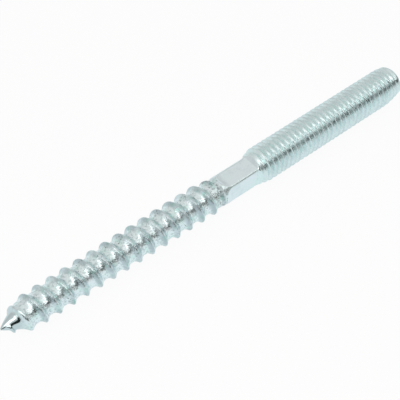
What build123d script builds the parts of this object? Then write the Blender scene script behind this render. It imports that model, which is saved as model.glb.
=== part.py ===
"""Hanger bolt: a wood screw at one end, a machine-threaded stud at the other, in one piece.

The bolt lies along X. The origin is on its axis where the shoulder meets the stud: the stud runs
towards +X and the wood screw towards -X. Two of the four pressed flats face +Z and -Z.
All sizes are in millimetres.
"""

import os
from math import radians, tan

from build123d import *

# Machine stud, M8: the diameter is over the crests of its rolled thread
stud_diameter = 7.8
stud_length = 38.0
end_diameter = 6.4
end_bevel_length = 3.4

# Neck and shoulder, with four flats pressed into the round neck for a wrench
shoulder_length = 2.8
neck_diameter = 6.12
neck_length = 9.2
width_across_flats = 4.8
flat_length = 6.8
flat_set_back = 3.0
flat_end_radius = 3.3
flat_ramp_angle = 33.0

# Wood screw
screw_length = 50.0
core_diameter = 5.4
crest_diameter = 6.98
thread_pitch = 3.075
crest_width = 0.34
flank_angle = 38.0

# Gimlet point, and the thread's start and run-out
point_length = 4.7
tip_diameter = 0.36
lead_in_gap = 1.2
lead_in_length = 0.8
lead_in_height = 0.1
run_out_length = 2.4
run_out_height = 0.15

# How deep the ridge's foot is sunk into the core, so that the two join over their whole length
foot_depth = 0.25

stud_radius = stud_diameter / 2
neck_radius = neck_diameter / 2
core_radius = core_diameter / 2
tip_radius = tip_diameter / 2
thread_height = (crest_diameter - core_diameter) / 2

# Places along the axis, from the stud back to the tip
x_neck_end = -shoulder_length
x_neck_start = x_neck_end - neck_length
x_tip = x_neck_start - screw_length
x_point_end = x_tip + point_length
x_flat_end = -flat_set_back
x_flat_start = x_flat_end - flat_length


def bare_radius(x):
    """The radius of the point and core under the thread, at a place along the axis."""
    share = min((x - x_tip) / point_length, 1.0)
    return tip_radius + (core_radius - tip_radius) * share


def thread_stations():
    """Where the thread's section changes or a turn ends, each with the ridge's height there."""
    x_start = x_tip + lead_in_gap
    x_full = x_start + lead_in_length
    x_run_out = x_neck_start - run_out_length
    stations = [(x_start, lead_in_height), (x_full, thread_height)]
    x = max(x_point_end, x_full + thread_pitch / 4)
    while x < x_run_out - thread_pitch / 4:
        stations.append((x, thread_height))
        x += thread_pitch
    stations.append((x_run_out, thread_height))
    stations.append((x_neck_start, run_out_height))
    return stations


def thread_span(start, end):
    """The ridge from one station to the next: a trapezium swept along a helix about X."""
    x_start, x_end = start[0], end[0]
    helix = Helix(thread_pitch, x_end - x_start, core_radius, center=(x_start, 0, 0), direction=(1, 0, 0))
    with BuildPart() as span:
        for (x, height), place in ((start, 0), (end, 1)):
            foot = bare_radius(x) - core_radius - foot_depth
            top = foot + foot_depth + height
            half_crest = crest_width / 2
            half_foot = half_crest + (top - foot) * tan(radians(flank_angle))
            with BuildSketch(Plane(helix @ place, x_dir=(1, 0, 0), z_dir=helix % place)):
                with BuildLine():
                    Polyline(
                        (-half_foot, foot),
                        (half_foot, foot),
                        (half_crest, top),
                        (-half_crest, top),
                        close=True,
                    )
                make_face()
        sweep(path=helix, multisection=True, is_frenet=True)
    # A helix starts over +Z: it is turned back to +Y, and on by the turns made since the tip
    return span.part.rotate(Axis.X, 360 * (x_start - x_tip) / thread_pitch - 90)


# The wood thread's ridge, one turn after another
stations = thread_stations()
ridge = [thread_span(start, end) for start, end in zip(stations, stations[1:])]

with BuildPart() as hanger_bolt:
    # The turned form: point, core, neck, shoulder and stud
    with BuildSketch(Plane.XZ):
        with BuildLine():
            Polyline(
                (x_tip, 0),
                (x_tip, tip_radius),
                (x_point_end, core_radius),
                (x_neck_start, core_radius),
                (x_neck_start, neck_radius),
                (x_neck_end, neck_radius),
                (0, stud_radius),
                (stud_length - end_bevel_length, stud_radius),
                (stud_length, end_diameter / 2),
                (stud_length, 0),
                close=True,
            )
        make_face()
    revolve(axis=Axis.X)
    add(ridge)

    # The four flats: each runs out in an arc towards the screw and up a ramp at the shoulder
    apothem = width_across_flats / 2
    cut_height = stud_diameter - apothem
    with BuildSketch(*[Plane.XZ.rotated((90 * quarter, 0, 0)) for quarter in range(4)]):
        with BuildLine():
            ramp = Line(
                (x_flat_end, apothem),
                (x_flat_end + cut_height / tan(radians(flat_ramp_angle)), apothem + cut_height),
            )
            Line((x_flat_start, apothem), (x_flat_end, apothem))
            run_out = CenterArc((x_flat_start, apothem + flat_end_radius), flat_end_radius, 180, 90)
            end_wall = Line(run_out @ 0, (x_flat_start - flat_end_radius, apothem + cut_height))
            Line(end_wall @ 1, ramp @ 1)
        make_face()
    extrude(amount=stud_radius, both=True, mode=Mode.SUBTRACT)

hanger_bolt.part.label = "hanger_bolt"
os.makedirs("parts", exist_ok=True)
export_step(hanger_bolt.part, "parts/hanger_bolt.step")
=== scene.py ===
from math import atan2, cos, pi, radians, sin, sqrt, tan, tau

import bmesh
import bpy
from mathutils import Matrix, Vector


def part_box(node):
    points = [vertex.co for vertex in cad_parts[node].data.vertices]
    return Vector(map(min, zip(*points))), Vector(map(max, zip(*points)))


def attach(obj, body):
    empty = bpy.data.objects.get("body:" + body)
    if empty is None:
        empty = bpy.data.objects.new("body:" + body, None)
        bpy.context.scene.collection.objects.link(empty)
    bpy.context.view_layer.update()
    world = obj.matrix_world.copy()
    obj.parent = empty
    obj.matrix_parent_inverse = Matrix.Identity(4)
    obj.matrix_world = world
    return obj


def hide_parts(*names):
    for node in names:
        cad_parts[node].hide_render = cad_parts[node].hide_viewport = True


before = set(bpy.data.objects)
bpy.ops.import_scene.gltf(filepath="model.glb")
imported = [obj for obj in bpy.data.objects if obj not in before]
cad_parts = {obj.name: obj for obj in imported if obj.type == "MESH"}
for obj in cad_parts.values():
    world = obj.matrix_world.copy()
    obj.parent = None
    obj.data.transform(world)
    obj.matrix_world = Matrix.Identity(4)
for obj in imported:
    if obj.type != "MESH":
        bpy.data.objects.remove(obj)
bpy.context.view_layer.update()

# The hanger bolt lies along X: its gimlet point towards -X, its machine stud towards +X. All
# sizes are in metres, and the bolt's own outline is taken from the frame. The shape of a thread's
# ridge is given in turns from its crest.
MM = 0.001
LOW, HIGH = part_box("hanger_bolt")
TIP_X = LOW.x
END_X = HIGH.x

# Machine stud
CREST_INSET = 0.05 * MM
STUD_RADIUS = HIGH.z - CREST_INSET
STUD_ROOT_RADIUS = 3.15 * MM
STUD_PITCH = 1.25 * MM
STUD_CREST = 0.09
STUD_FLANK = 0.41
STUD_ROUNDING = 0.08
END_BEVEL = 3.4 * MM
END_RADIUS = 3.3 * MM
END_BEVEL_CURVE = 1.4
BEVEL_LEAN = 1.05 * MM
BEVEL_LEANS_TO = radians(33)

# Neck, shoulder and the four pressed flats. The wood thread fades into the neck's start, and its
# own surface ends at SCREW_END_X.
SHOULDER = 2.8 * MM
NECK_RADIUS = 3.06 * MM
NECK_START_X = -12.0 * MM
SCREW_TO_NECK = (NECK_START_X - 0.3 * MM, NECK_START_X + 2.1 * MM)
SCREW_END_X = NECK_START_X + 0.8 * MM
FLAT_APOTHEM = 2.344 * MM
FLAT_START_X = -9.0 * MM
FLAT_END_X = -2.3 * MM
FLAT_RUN_OUT_RADIUS = 3.3 * MM
FLAT_RAMP = radians(50)
FLAT_EDGE_FADE = 0.02 * MM
# The neck is set off the threads' axis, by an amount that comes and goes over two ranges
NECK_SET_OFF = 0.15 * MM
NECK_SET_TO = radians(213)
SET_OFF_COMES = (-14.5 * MM, -12.0 * MM)
SET_OFF_GOES = (-4.0 * MM, 0.0)

# Wood screw
WOOD_PITCH = 3.075 * MM
WOOD_CREST_RADIUS = 3.49 * MM
WOOD_CORE_RADIUS = 2.7 * MM
WOOD_CREST = 0.06
WOOD_ROUNDING = 0.06
# The flanks are hollow to a power, which is less where they run on for longer than usual
WOOD_FLANK = 0.34
WOOD_HOLLOW = 1.8
LONG_FLANK_HOLLOW = 2.2
POINT_LENGTH = 4.7 * MM
TIP_RADIUS = 0.18 * MM
POINT_BULGE = 0.12 * MM
# What makes share * (1 - share) ** 2 reach 1 at its highest
BULGE_TO_ONE = 27 / 4
RIDGE_FADES = (-13.6 * MM, -11.2 * MM)
RIDGE_FADES_BY = 0.85
# How the ridge grows from the point: a crest's distance from the tip in mm, its share of the
# full height, and the run of its flanks before and after it in turns
RIDGE_GROWTH = (
    (1.0, 0.0, 0.11, 0.11),
    (1.7, 0.75, 0.12, 0.12),
    (2.4, 0.80, 0.14, 0.16),
    (3.4, 0.78, 0.20, 0.26),
    (4.2, 0.72, 0.24, 0.30),
    (4.9, 0.72, 0.50, 0.34),
    (6.0, 0.86, 0.40, 0.34),
    (7.5, 1.0, 0.34, 0.34),
)
# The screw grows a little thicker between two distances from the tip
WOOD_GROWTH = 0.11 * MM
WOOD_GROWS = (16.0 * MM, 38.0 * MM)

# The skin is one long screw surface: samples of a turn's profile, in turns from the crest, and
# steps around a turn. A flat ends 40 degrees from its middle, which is 12 of the 108 steps.
PROFILE_SAMPLES = (0.05, 0.08, 0.13, 0.20, 0.28, 0.36, 0.43)
TURN_STEPS = 108
# The turns that the surface makes along the neck, from one place to another. They also set where
# the machine thread stands on the stud.
NECK_TURNS = 5.645
NECK_GRID = (-11.6 * MM, -2.6 * MM)
# How near points are joined, and how near a cut they count as on it, where a turn is 1 long
JOIN_DISTANCE = 0.001
CUT_DISTANCE = 0.0001
SHARP_ANGLE = radians(34)

# Painted shade: a darker teal on a thread's crest and the flank facing the point, standing in for
# the shade and dark reflections there. Where it comes and goes over a turn, on the wood thread and
# on the machine thread, which has only a share of it, and where it comes and goes along the bolt
SCREW_SHADE_PHASES = ((-0.31, -0.16), (0.0, 0.09))
STUD_SHADE_PHASES = ((-0.26, -0.14), (0.06, 0.18))
STUD_SHADE_SHARE = 0.45
SHADED_SCREW_SPAN = ((TIP_X + 4.0 * MM, TIP_X + 7.0 * MM), (NECK_START_X, NECK_START_X + MM))
SHADED_STUD_FROM = (-0.5 * MM, 0.5 * MM)

# Where the finish changes along the bolt, each a range that it fades over
POINT_ENDS = (TIP_X + 2.5 * MM, TIP_X + 5.0 * MM)
VERY_TIP_ENDS = (TIP_X + 0.8 * MM, TIP_X + 1.6 * MM)
SCREW_ENDS = (NECK_START_X - 1.0 * MM, NECK_START_X + 4.0 * MM)
NECK_BEGINS = (NECK_START_X - 2.5 * MM, NECK_START_X - 0.5 * MM)
ROLLING_ENDS = (NECK_START_X + 0.2 * MM, NECK_START_X + 1.4 * MM)
NECK_ENDS = (-3.5 * MM, -2.0 * MM)

# Colours of the zinc and its passivation. A pair is the two ends of a drift from one to the other.
PALE_BLUE_GREEN = ((0.72, 0.85, 0.845), (0.75, 0.875, 0.865))
TEAL = (0.57, 0.81, 0.765)
PINKISH_GREY = (0.76, 0.81, 0.87)
PALE_WASH = ((0.89, 0.985, 1.0), (0.79, 0.99, 0.95))
# Painted shade: a darker teal that stands in for the shade and dark reflections on crests and flanks
FLANK_SHADE_TEAL = ((0.52, 0.61, 0.64), (0.37, 0.58, 0.55))
PRESSED_ZINC = ((0.80, 0.89, 0.915), (0.755, 0.905, 0.895))
SMEARED_ZINC = (0.71, 0.80, 0.835)
FLECK_GREY = (0.53, 0.63, 0.64)
BARE_ZINC = (0.60, 0.695, 0.71)
PIT_GREY = (0.16, 0.18, 0.18)

# The noises in the plating, from coarse to fine: each one's scale per metre, detail and roughness
DRIFT = (160.0, 2.0, 0.5)
# A noise that makes the painted shade uneven
SHADE_NOISE = (330.0, 2.0, 0.5)
PIT_AREA = (420.0, 1.0, 0.5)
SMEAR = (520.0, 3.0, 0.5)
PATCH = (700.0, 3.0, 0.5)
SHEEN = (900.0, 3.0, 0.5)
FLECK = (1800.0, 3.0, 0.6)
GRAIN = (1900.0, 3.0, 0.65)
CRUSH = (2300.0, 2.0, 0.65)
PIT = (2600.0, 2.0, 0.6)
# The values of a noise that its effect comes in between
TEAL_COMES = (0.50, 0.68)
PINK_COMES = (0.48, 0.34)
# Where that noise brings the painted shade in
SHADE_NOISE_COMES = (0.36, 0.60)
FLECK_COMES = (0.49, 0.62)
WIPING_COMES = (0.40, 0.60)
SMEAR_COMES = (0.50, 0.66)
PIT_COMES = (0.60, 0.68)
PIT_AREA_COMES = (0.50, 0.62)
CRUSH_COMES = (0.50, 0.62)
SHEEN_COMES = (0.3, 0.7)
# How much of each effect there is: at its least, at its most, or on the stud and on the screw
# The least painted shade, where its noise is low
SHADE_LEAST = 0.40
FLECK_MOST = 0.8
SMEAR_MOST = 0.5
CRUSH_MOST = 0.6
STUD_PALE = 0.3
SCREW_PALE = 0.65
STUD_MOTTLE = 0.3

# Roughness between two values, and how it changes on the stud, the point, the flats, where the
# plating is rubbed and where the crest and the flank facing the point carry painted shade
ROUGHNESS = (0.20, 0.32)
STUD_ROUGHNESS = 1.18
POINT_ROUGHNESS = 0.36
FLAT_ROUGHNESS = 0.55
RUBBED_ADDS = 0.08
SHADED_FLANK_ROUGHER = 0.07

# Bump: how deep the grain is on the stud and the screw, its share on the flats, and how deep the
# crushed start of the neck is
BUMP_DISTANCE = 0.1 * MM
BUMP_STRENGTH = 0.7
STUD_GRAIN = 0.12
SCREW_GRAIN = 1.4
FLAT_GRAIN = 0.25
CRUSH_DEPTH = 2.6

# The floor: its own colour, and what reflections and the camera see of it, which is nearly all glow
FLOOR_REACH = 1.5
FLOOR_PALE = (0.9, 0.9, 0.9)
FLOOR_ROUGHNESS = 0.9
FLOOR_GLOW = (0.84, 0.90, 0.92)
FLOOR_GLOWS_BY = 0.93
WHITE = (1.0, 1.0, 1.0)

# The room is pale all round, and a little dimmer in a band behind the bolt. The band's ranges are
# where it comes in above the floor, where it goes out higher up, and where it comes in to the back.
WALLS = (0.79, 0.785, 0.775)
WALLS_BEHIND = (0.67, 0.67, 0.67)
BAND_FROM = (0.02, 0.30)
BAND_TO = (0.45, 0.85)
BAND_BACK = (0.0, 0.4)
# The dark gap in front is between two heights, each a range that it fades over. Its lower edge
# rises towards the stud, its upper edge falls towards the point, and it reaches further round past
# the point. A limit is the way along X that such a slope starts or stops at. Towards the stud the
# gap is less dark.
GAP_LOW = (0.12, 0.26)
GAP_LOW_RISE = 0.22
GAP_LOW_LIMIT = 0.4
GAP_HIGH = (0.585, 0.715)
GAP_HIGH_RISE = 0.20
GAP_HIGH_LIMIT = -0.1
GAP_SIDE = (-0.35, -0.15)
GAP_SIDE_LEAN = 0.36
GAP_SIDE_LIMIT = -0.5
GAP_TOWARDS_STUD = (-0.3, 0.4)
GAP_AT_POINT = (0.015, 0.02, 0.02)
GAP_AT_STUD = (0.08, 0.08, 0.08)
# Each lamp's name, place, the place that it faces, size, power and the spread of its beam
SOFTBOXES = (
    ("low beyond the point", (-0.485, -0.010, 0.15), (-0.03, 0, 0), (0.15, 0.15), 0.041, 180),
    ("over the point", (-0.101, -0.002, 0.045), (-0.03, 0, 0), (0.034, 0.0150), 0.0020, 180),
    ("over the screw", (-0.069, -0.050, 0.093), (-0.03, 0, 0), (0.160, 0.040), 0.0225, 180),
    ("over the neck", (0.036, -0.050, 0.093), (0.036, 0, 0), (0.014, 0.040), 0.0040, 180),
    ("along the stud", (-0.058, -0.027, 0.010), (0.02, 0, 0), (0.030, 0.018), 0.00008, 40),
)

# The camera's place, its turns about X, Y and Z in degrees, and its lens
CAMERA_PLACE = (-0.106907, -0.108617, 0.168421)
CAMERA_TURNS = (40.253, -0.175, -39.887)
SENSOR_WIDTH = 36
FOCAL_LENGTH = 101.02
NEAREST_SEEN = 10 * MM


def smooth(value, low, high):
    """0 below low, 1 above high, and an even rise between."""
    share = min(max((value - low) / (high - low), 0), 1)
    return share * share * (3 - 2 * share)


def smooth_between(value, comes, goes):
    """A rise over one range and a fall over another: 1 between them, and 0 outside both."""
    return smooth(value, *comes) * (1 - smooth(value, *goes))


def rounded_step(value, rounding):
    """The value where it is above 0, 0 below it, with the corner rounded."""
    return (value + sqrt(value * value + rounding * rounding)) / 2


def between(stops, place):
    """Each value of a table of stops at a place between them, the place being a stop's first value."""
    if place <= stops[0][0]:
        return stops[0][1:]
    for low, high in zip(stops, stops[1:]):
        if place < high[0]:
            share = (place - low[0]) / (high[0] - low[0])
            return [first + share * (last - first) for first, last in zip(low[1:], high[1:])]
    return stops[-1][1:]


def wood_ridge(phase, run):
    """The wood thread's height, from 0 in the valley to 1 on the crest, with hollow flanks."""
    fall = rounded_step((abs(phase) - WOOD_CREST) / run, WOOD_ROUNDING)
    hollow = WOOD_HOLLOW - LONG_FLANK_HOLLOW * max(run - WOOD_FLANK, 0)
    return max(1 - fall, 0) ** hollow


def stud_ridge(phase):
    """The machine thread's height: straight flanks down to a sharp root, with the crest rounded."""
    return 1 - rounded_step((abs(phase) - STUD_CREST) / STUD_FLANK, STUD_ROUNDING)


def flat_depth(x):
    """How far the flats' surface is from the axis at a place along it."""
    if x < FLAT_START_X:
        back = min(FLAT_START_X - x, FLAT_RUN_OUT_RADIUS)
        return FLAT_APOTHEM + FLAT_RUN_OUT_RADIUS - sqrt(FLAT_RUN_OUT_RADIUS**2 - back**2)
    return FLAT_APOTHEM + max(x - FLAT_END_X, 0) * tan(FLAT_RAMP)


def wood_radius(x, phase):
    """The wood screw's surface: the point and core, and the ridge on them."""
    from_tip = x - TIP_X
    crest_from_tip = from_tip - phase * WOOD_PITCH
    growth = WOOD_GROWTH * smooth(from_tip, *WOOD_GROWS)
    share = min(max(from_tip / POINT_LENGTH, 0), 1)
    bulge = POINT_BULGE * BULGE_TO_ONE * share * (1 - share) ** 2
    core = TIP_RADIUS + (WOOD_CORE_RADIUS - TIP_RADIUS) * share + bulge + growth
    rise, run_before, run_after = between(RIDGE_GROWTH, crest_from_tip / MM)
    run_out = 1 - RIDGE_FADES_BY * smooth(crest_from_tip + TIP_X, *RIDGE_FADES)
    height = (WOOD_CREST_RADIUS - WOOD_CORE_RADIUS) * rise * run_out
    return core + height * wood_ridge(phase, run_before if phase < 0 else run_after)


def bevel_rise(share):
    """The end bevel's rise from the end, rounded into the full radius."""
    return 1 - max(1 - share, 0) ** END_BEVEL_CURVE


def stud_radius(x, angle, phase):
    """The shoulder's cone, the machine thread and the bevel at the stud's end, which leans a little."""
    shoulder = NECK_RADIUS + (STUD_RADIUS - NECK_RADIUS) * (x + SHOULDER) / SHOULDER
    from_end = END_X - x + BEVEL_LEAN * cos(angle - BEVEL_LEANS_TO)
    bevel = END_RADIUS + (STUD_RADIUS - END_RADIUS) * bevel_rise(from_end / END_BEVEL)
    crest = min(max(shoulder, NECK_RADIUS), bevel, STUD_RADIUS)
    root = min(STUD_ROOT_RADIUS, crest)
    return root + (crest - root) * stud_ridge(phase)


def surface_radius(x, angle, phase):
    """The bolt's surface from its axis at a place along and around it, and how far a flat cuts in."""
    to_neck = smooth(x, *SCREW_TO_NECK)
    wood = wood_radius(min(x, SCREW_END_X), phase)
    radius = (1 - to_neck) * wood + to_neck * stud_radius(x, angle, phase)
    off_flat = (angle + pi / 4) % (pi / 2) - pi / 4
    flat = flat_depth(x) / cos(off_flat)
    return min(radius, flat), radius - flat


def flank_shade_mask(x, phase):
    """Where painted shade and dark reflection go, as colour: 1 on the wood thread's crest and the upper
    half of its flank that faces the point, less on the machine thread's crest, and 0 elsewhere."""
    on_screw = smooth_between(phase, *SCREW_SHADE_PHASES) * smooth_between(x, *SHADED_SCREW_SPAN)
    on_stud = STUD_SHADE_SHARE * smooth_between(phase, *STUD_SHADE_PHASES)
    return on_screw + on_stud * smooth(x, *SHADED_STUD_FROM)


def place_along(turns):
    """Where a point of the screw surface lies along X, from its turns since the tip."""
    wood_turns = (NECK_GRID[0] - TIP_X) / WOOD_PITCH
    if turns < wood_turns:
        return TIP_X + turns * WOOD_PITCH
    neck_share = (turns - wood_turns) / NECK_TURNS
    if neck_share < 1:
        return NECK_GRID[0] + neck_share * (NECK_GRID[1] - NECK_GRID[0])
    return NECK_GRID[1] + (turns - wood_turns - NECK_TURNS) * STUD_PITCH


def total_turns():
    """The turns of the screw surface from the tip to the stud's end."""
    return (NECK_GRID[0] - TIP_X) / WOOD_PITCH + NECK_TURNS + (END_X - NECK_GRID[1]) / STUD_PITCH


def screw_sheet(turns):
    """A screw surface of radius 1 and pitch 1 about X: one turn is spun, then repeated."""
    sheet = bmesh.new()
    profile = [-0.5, *[-sample for sample in reversed(PROFILE_SAMPLES)], 0, *PROFILE_SAMPLES, 0.5]
    points = [sheet.verts.new((sample, 1, 0)) for sample in profile]
    edges = [sheet.edges.new(pair) for pair in zip(points, points[1:])]
    half_step = tau / TURN_STEPS / 2
    bmesh.ops.spin(
        sheet,
        geom=points + edges,
        cent=(0, 0, 0),
        axis=(1, 0, 0),
        dvec=(1 / TURN_STEPS, 0, 0),
        angle=tau,
        steps=TURN_STEPS,
    )
    one_turn = sheet.verts[:] + sheet.edges[:] + sheet.faces[:]
    for turn in range(-1, int(turns) + 2):
        if turn == 0:
            continue
        copy = bmesh.ops.duplicate(sheet, geom=one_turn)["geom"]
        copied = [part for part in copy if isinstance(part, bmesh.types.BMVert)]
        bmesh.ops.translate(sheet, vec=(turn, 0, 0), verts=copied)
    bmesh.ops.remove_doubles(sheet, verts=sheet.verts, dist=JOIN_DISTANCE)
    # Half a step of turn and of advance puts the steps evenly to each side of the flats' edges
    for point in sheet.verts:
        angle = atan2(point.co.z, point.co.y) + half_step
        point.co = (point.co.x + half_step / tau, cos(angle), sin(angle))
    for place, outward in ((0, -1), (turns, 1)):
        bmesh.ops.bisect_plane(
            sheet,
            geom=sheet.verts[:] + sheet.edges[:] + sheet.faces[:],
            dist=CUT_DISTANCE,
            plane_co=(place, 0, 0),
            plane_no=(outward, 0, 0),
            clear_outer=True,
        )
    return sheet


def add_object(name, data):
    """A new object in the scene, at the origin."""
    thing = bpy.data.objects.new(name, data)
    bpy.context.scene.collection.objects.link(thing)
    return thing


def make_bolt():
    """The bolt's skin: a screw surface drawn to the bolt's own radius, and closed at both ends."""
    skin = screw_sheet(total_turns())
    pressed = skin.verts.layers.float.new("pressed")
    # The second mark is where painted shade goes: the crest and the flank that faces the point
    shaded_flank = skin.verts.layers.float.new("shaded_flank")
    for point in skin.verts:
        angle = atan2(point.co.z, point.co.y)
        phase = (point.co.x - angle / tau + 0.5) % 1 - 0.5
        x = place_along(point.co.x)
        radius, cut = surface_radius(x, angle, phase)
        set_off = NECK_SET_OFF * smooth_between(x, SET_OFF_COMES, SET_OFF_GOES)
        point.co = (
            x,
            radius * cos(angle) + set_off * cos(NECK_SET_TO),
            radius * sin(angle) + set_off * sin(NECK_SET_TO),
        )
        point[pressed] = smooth(cut, -FLAT_EDGE_FADE, FLAT_EDGE_FADE)
        point[shaded_flank] = flank_shade_mask(x, phase)
    rims = [edge for edge in skin.edges if edge.is_boundary]
    bmesh.ops.edgeloop_fill(skin, edges=rims)
    bmesh.ops.recalc_face_normals(skin, faces=skin.faces)
    for face in skin.faces:
        face.smooth = True
    mesh = bpy.data.meshes.new("threaded_bolt")
    skin.to_mesh(mesh)
    skin.free()
    mesh.set_sharp_from_angle(angle=SHARP_ANGLE)
    return add_object("threaded_bolt", mesh)


def socket_group(name, inputs, outputs):
    """A node group with named inputs (name, kind, default) and outputs (name, kind)."""
    group = bpy.data.node_groups.new(name, "ShaderNodeTree")
    for label, kind, default in inputs:
        socket = group.interface.new_socket(label, in_out="INPUT", socket_type=kind)
        socket.default_value = default
    for label, kind in outputs:
        group.interface.new_socket(label, in_out="OUTPUT", socket_type=kind)
    ends = (group.nodes.new("NodeGroupInput"), group.nodes.new("NodeGroupOutput"))
    return group, *ends


def add_group(tree, group, inputs):
    """A node group placed in a tree, with a socket linked to each of its named inputs."""
    node = tree.nodes.new("ShaderNodeGroup")
    node.node_tree = group
    for label, socket in inputs.items():
        tree.links.new(socket, node.inputs[label])
    return node


def add_noise(tree, place, scale, detail, roughness):
    """The value of a noise at a place given by a socket. The scale is a number or a socket."""
    cloud = tree.nodes.new("ShaderNodeTexNoise")
    cloud.inputs["Detail"].default_value = detail
    cloud.inputs["Roughness"].default_value = roughness
    if isinstance(scale, float):
        cloud.inputs["Scale"].default_value = scale
    else:
        tree.links.new(scale, cloud.inputs["Scale"])
    tree.links.new(place, cloud.inputs["Vector"])
    return cloud.outputs["Fac"]


def add_range(tree, value, low, high, to_low=0.0, to_high=1.0):
    """A smooth rise from to_low to to_high as a socket's value goes from low to high."""
    rise = tree.nodes.new("ShaderNodeMapRange")
    rise.interpolation_type = "SMOOTHSTEP"
    for label, number in zip(("From Min", "From Max", "To Min", "To Max"), (low, high, to_low, to_high)):
        rise.inputs[label].default_value = number
    tree.links.new(value, rise.inputs["Value"])
    return rise.outputs["Result"]


def add_blend(tree, share, start, end):
    """A value that goes from start to end as a socket's share goes from 0 to 1."""
    return add_range(tree, share, 0.0, 1.0, start, end)


def add_math(tree, operation, first, second):
    """What an operation makes of two values, each a socket or a number."""
    node = tree.nodes.new("ShaderNodeMath")
    node.operation = operation
    for socket, value in zip(node.inputs, (first, second)):
        if isinstance(value, float):
            socket.default_value = value
        else:
            tree.links.new(value, socket)
    return node.outputs[0]


def times(tree, first, second):
    """The product of two values, each a socket or a number."""
    return add_math(tree, "MULTIPLY", first, second)


def plus(tree, first, second):
    """The sum of two values, each a socket or a number."""
    return add_math(tree, "ADD", first, second)


def add_mix(tree, factor, first, second):
    """A mix of two colours, each a socket or a colour."""
    node = tree.nodes.new("ShaderNodeMix")
    node.data_type = "RGBA"
    for label, value in zip(("Factor", "A", "B"), (factor, first, second)):
        socket = node.inputs[label]
        if isinstance(value, tuple):
            socket.default_value = (*value, 1)
        else:
            tree.links.new(value, socket)
    return node.outputs["Result"]


def passivation_group():
    """Blue passivation on bright zinc: patches of pale blue-green, teal and a pinkish grey, and a
    painted shade of darker teal where the shade mark is high.
    """
    group, start, end = socket_group(
        "blue_passivation",
        [
            ("Place", "NodeSocketVector", (0, 0, 0)),
            ("Patch Scale", "NodeSocketFloat", PATCH[0]),
            ("Flank Shade", "NodeSocketFloat", 0.0),
            ("Burnish", "NodeSocketFloat", 0.0),
            ("Bare", "NodeSocketFloat", 0.0),
            ("Pale", "NodeSocketFloat", 0.0),
            ("Mottle", "NodeSocketFloat", 1.0),
        ],
        [("Color", "NodeSocketColor")],
    )
    given = start.outputs
    place = given["Place"]
    patch = add_noise(group, place, given["Patch Scale"], *PATCH[1:])
    drift = add_noise(group, place, *DRIFT)

    # The plating as it comes from the bath
    teal = times(group, add_range(group, patch, *TEAL_COMES), given["Mottle"])
    pink = times(group, add_range(group, patch, *PINK_COMES), given["Mottle"])
    pale = add_mix(group, drift, *PALE_BLUE_GREEN)
    green = add_mix(group, teal, pale, TEAL)
    grey = add_mix(group, pink, green, PINKISH_GREY)
    washed = add_mix(group, given["Pale"], grey, add_mix(group, teal, *PALE_WASH))

    # Painted shade, a darker teal for the shade and dark reflections on crests and flanks, made uneven;
    #     # and flecks
    uneven = add_range(group, add_noise(group, place, *SHADE_NOISE), *SHADE_NOISE_COMES, SHADE_LEAST, 1.0)
    shade_amount = times(group, given["Flank Shade"], uneven)
    with_shade = add_mix(group, shade_amount, washed, add_mix(group, teal, *FLANK_SHADE_TEAL))
    fleck = add_range(group, add_noise(group, place, *FLECK), *FLECK_COMES, 0.0, FLECK_MOST)
    clouded = add_mix(group, times(group, fleck, given["Mottle"]), with_shade, FLECK_GREY)

    # The brighter pressed flats with their smears, and the point where the plating is bare
    wiped = add_mix(group, add_range(group, drift, *WIPING_COMES), *PRESSED_ZINC)
    smear = add_range(group, add_noise(group, place, *SMEAR), *SMEAR_COMES, 0.0, SMEAR_MOST)
    bright = add_mix(group, smear, wiped, SMEARED_ZINC)
    plated = add_mix(group, given["Burnish"], clouded, bright)
    group.links.new(add_mix(group, given["Bare"], plated, BARE_ZINC), end.inputs["Color"])
    return group


def pits_group():
    """Sparse dark specks where the plating didn't take: 1 in a speck, 0 elsewhere."""
    group, start, end = socket_group(
        "plating_pits",
        [("Place", "NodeSocketVector", (0, 0, 0)), ("Size Scale", "NodeSocketFloat", PIT[0])],
        [("Mask", "NodeSocketFloat")],
    )
    place = start.outputs["Place"]
    speck = add_noise(group, place, start.outputs["Size Scale"], *PIT[1:])
    area = add_noise(group, place, *PIT_AREA)
    few = times(group, add_range(group, speck, *PIT_COMES), add_range(group, area, *PIT_AREA_COMES))
    group.links.new(few, end.inputs["Mask"])
    return group


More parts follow.
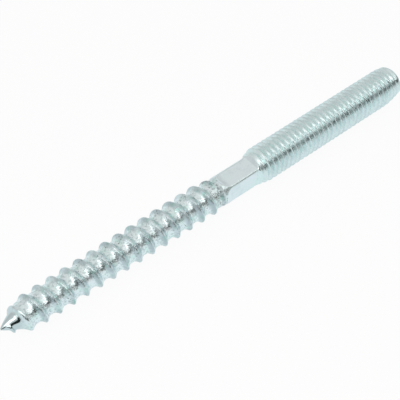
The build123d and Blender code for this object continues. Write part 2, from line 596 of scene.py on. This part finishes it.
def zinc_plate():
    """Bright zinc plating with a blue passivation, dull on the rolled threads, bright on the point."""
    material = bpy.data.materials.new("zinc_plate")
    material.use_nodes = True
    tree = material.node_tree
    shader = tree.nodes["Principled BSDF"]
    shader.inputs["Metallic"].default_value = 1.0
    place = tree.nodes.new("ShaderNodeTexCoord").outputs["Object"]
    split = tree.nodes.new("ShaderNodeSeparateXYZ")
    tree.links.new(place, split.inputs[0])
    along = split.outputs["X"]
    marks = {}
    for name in ("pressed", "shaded_flank"):
        attribute = tree.nodes.new("ShaderNodeAttribute")
        attribute.attribute_name = name
        marks[name] = attribute.outputs["Fac"]
    pressed = marks["pressed"]
    unpressed = add_math(tree, "SUBTRACT", 1.0, pressed)

    # Where things are: the smooth point, the screw, the rolled start of the neck, the neck's lands
    from_point = add_range(tree, along, *POINT_ENDS)
    very_tip = add_range(tree, along, *VERY_TIP_ENDS, 1.0, 0.0)
    on_screw = add_range(tree, along, *SCREW_ENDS, 1.0, 0.0)
    past_screw = add_range(tree, along, *NECK_BEGINS)
    before_bare_neck = add_range(tree, along, *ROLLING_ENDS, 1.0, 0.0)
    before_stud = add_range(tree, along, *NECK_ENDS, 1.0, 0.0)
    rolled = times(tree, times(tree, past_screw, before_bare_neck), unpressed)
    on_land = times(tree, times(tree, past_screw, before_stud), unpressed)

    # Colour: the passivation, with dark pits on the screw and where rolling crushed the neck's start
    # The passivation also paints shade on the crest and the flank that faces the point, by the mark on
    # the skin
    passivation = add_group(
        tree,
        passivation_group(),
        {
            "Place": place,
            "Flank Shade": marks["shaded_flank"],
            "Burnish": pressed,
            "Bare": add_math(tree, "SUBTRACT", 1.0, from_point),
            "Pale": add_blend(tree, on_screw, STUD_PALE, SCREW_PALE),
            "Mottle": add_blend(tree, on_screw, STUD_MOTTLE, 1.0),
        },
    )
    pits = add_group(tree, pits_group(), {"Place": place})
    round_screw = times(tree, on_screw, unpressed)
    pitted = times(tree, times(tree, pits.outputs["Mask"], round_screw), from_point)
    crushed = add_noise(tree, place, *CRUSH)
    crushed_dark = times(tree, add_range(tree, crushed, *CRUSH_COMES, 0.0, CRUSH_MOST), rolled)
    dark = add_math(tree, "MAXIMUM", pitted, crushed_dark)
    color = add_mix(tree, dark, passivation.outputs["Color"], PIT_GREY)
    tree.links.new(color, shader.inputs["Base Color"])

    # Roughness: uneven, a little more on the stud, less on the point and the flats, and more where
    #     # the lands and the very tip are rubbed and on the screw's crest and flank under the painted
    #     shade
    sheen = add_range(tree, add_noise(tree, place, *SHEEN), *SHEEN_COMES, *ROUGHNESS)
    by_end = times(tree, sheen, add_blend(tree, on_screw, STUD_ROUGHNESS, 1.0))
    by_point = times(tree, by_end, add_blend(tree, from_point, POINT_ROUGHNESS, 1.0))
    by_flat = times(tree, by_point, add_blend(tree, pressed, 1.0, FLAT_ROUGHNESS))
    rubbed = times(tree, plus(tree, on_land, very_tip), RUBBED_ADDS)
    dull_crest = times(tree, times(tree, marks["shaded_flank"], on_screw), SHADED_FLANK_ROUGHER)
    dull = plus(tree, by_flat, plus(tree, rubbed, dull_crest))
    tree.links.new(dull, shader.inputs["Roughness"])

    # Bump: a fine grain, deepest on the screw, and the crushed start of the neck
    grain = add_noise(tree, place, *GRAIN)
    depth = times(tree, from_point, add_blend(tree, on_screw, STUD_GRAIN, SCREW_GRAIN))
    depth_by_flat = times(tree, depth, add_blend(tree, pressed, 1.0, FLAT_GRAIN))
    height = times(tree, grain, depth_by_flat)
    scuffed = times(tree, crushed, times(tree, rolled, CRUSH_DEPTH))
    bump = tree.nodes.new("ShaderNodeBump")
    bump.inputs["Strength"].default_value = BUMP_STRENGTH
    bump.inputs["Distance"].default_value = BUMP_DISTANCE
    tree.links.new(plus(tree, height, scuffed), bump.inputs["Height"])
    tree.links.new(bump.outputs["Normal"], shader.inputs["Normal"])
    return material


def seen_directly(tree, path):
    """1 for the camera's own rays and for those that a reflection or clear glass sends on."""
    direct = add_math(tree, "MAXIMUM", path.outputs["Is Camera Ray"], path.outputs["Is Glossy Ray"])
    return add_math(tree, "MAXIMUM", direct, path.outputs["Is Transmission Ray"])


def make_floor():
    """A plain white floor under the bolt, which keeps a little of the bolt's shadow."""
    mesh = bpy.data.meshes.new("floor")
    sheet = bmesh.new()
    bmesh.ops.create_grid(sheet, x_segments=1, y_segments=1, size=FLOOR_REACH)
    bmesh.ops.translate(sheet, vec=(0, 0, LOW.z), verts=sheet.verts)
    sheet.to_mesh(mesh)
    sheet.free()
    floor = add_object("floor", mesh)
    material = bpy.data.materials.new("floor_white")
    material.use_nodes = True
    tree = material.node_tree
    shader = tree.nodes["Principled BSDF"]
    shader.inputs["Base Color"].default_value = (*FLOOR_PALE, 1)
    shader.inputs["Roughness"].default_value = FLOOR_ROUGHNESS
    path = tree.nodes.new("ShaderNodeLightPath")
    glow = tree.nodes.new("ShaderNodeEmission")
    white = add_mix(tree, path.outputs["Is Camera Ray"], FLOOR_GLOW, WHITE)
    tree.links.new(white, glow.inputs["Color"])
    glow.inputs["Strength"].default_value = 1.0
    mix = tree.nodes.new("ShaderNodeMixShader")
    tree.links.new(times(tree, seen_directly(tree, path), FLOOR_GLOWS_BY), mix.inputs[0])
    tree.links.new(shader.outputs[0], mix.inputs[1])
    tree.links.new(glow.outputs[0], mix.inputs[2])
    tree.links.new(mix.outputs[0], tree.nodes["Material Output"].inputs["Surface"])
    mesh.materials.append(material)


def gap_in_front(tree, x, y, z):
    """1 in the dark gap of the world, by the three parts of a way of looking, and 0 outside it."""
    lower_slope = times(tree, add_math(tree, "MINIMUM", x, GAP_LOW_LIMIT), -GAP_LOW_RISE)
    above = add_range(tree, plus(tree, z, lower_slope), *GAP_LOW)
    upper_slope = times(tree, add_math(tree, "MINIMUM", x, GAP_HIGH_LIMIT), -GAP_HIGH_RISE)
    below = add_range(tree, plus(tree, z, upper_slope), *GAP_HIGH, 1.0, 0.0)
    past_point = add_math(tree, "MINIMUM", plus(tree, x, -GAP_SIDE_LIMIT), 0.0)
    side = plus(tree, y, times(tree, past_point, GAP_SIDE_LEAN))
    in_front = add_range(tree, side, *GAP_SIDE, 1.0, 0.0)
    return times(tree, times(tree, above, below), in_front)


def make_world():
    """A pale room with a dark gap in front of the bolt, above the floor."""
    world = bpy.data.worlds.new("studio")
    bpy.context.scene.world = world
    world.use_nodes = True
    tree = world.node_tree
    direction = tree.nodes.new("ShaderNodeTexCoord").outputs["Generated"]
    split = tree.nodes.new("ShaderNodeSeparateXYZ")
    tree.links.new(direction, split.inputs[0])
    x, y, z = split.outputs
    gap = gap_in_front(tree, x, y, z)
    dark = add_mix(tree, add_range(tree, x, *GAP_TOWARDS_STUD), GAP_AT_POINT, GAP_AT_STUD)
    behind = times(tree, add_range(tree, z, *BAND_FROM), add_range(tree, y, *BAND_BACK))
    dimmed = times(tree, behind, add_range(tree, z, *BAND_TO, 1.0, 0.0))
    room = add_mix(tree, gap, add_mix(tree, dimmed, WALLS, WALLS_BEHIND), dark)
    path = tree.nodes.new("ShaderNodeLightPath")
    shown = add_mix(tree, path.outputs["Is Camera Ray"], room, WHITE)
    tree.links.new(shown, tree.nodes["Background"].inputs["Color"])


def hang_softboxes():
    """The lamps, each a rectangle turned to face its place on the bolt."""
    for name, place, faces, size, power, spread in SOFTBOXES:
        lamp = bpy.data.lights.new(name, "AREA")
        lamp.shape = "RECTANGLE"
        lamp.size, lamp.size_y = size
        lamp.energy = power
        lamp.spread = radians(spread)
        softbox = add_object(name, lamp)
        softbox.location = place
        softbox.rotation_euler = (Vector(place) - Vector(faces)).to_track_quat("Z", "Y").to_euler()
        softbox.visible_camera = False


def make_camera():
    """The view: from above and in front, with the point nearest."""
    camera = add_object("camera", bpy.data.cameras.new("camera"))
    bpy.context.scene.camera = camera
    camera.data.sensor_width = SENSOR_WIDTH
    camera.data.lens = FOCAL_LENGTH
    camera.data.clip_start = NEAREST_SEEN
    camera.location = CAMERA_PLACE
    camera.rotation_euler = [radians(turn) for turn in CAMERA_TURNS]


bolt = make_bolt()
bolt.data.materials.append(zinc_plate())
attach(bolt, "root")
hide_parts("hanger_bolt")
make_floor()
make_world()
hang_softboxes()
make_camera()
bpy.context.scene.view_settings.view_transform = "Standard"
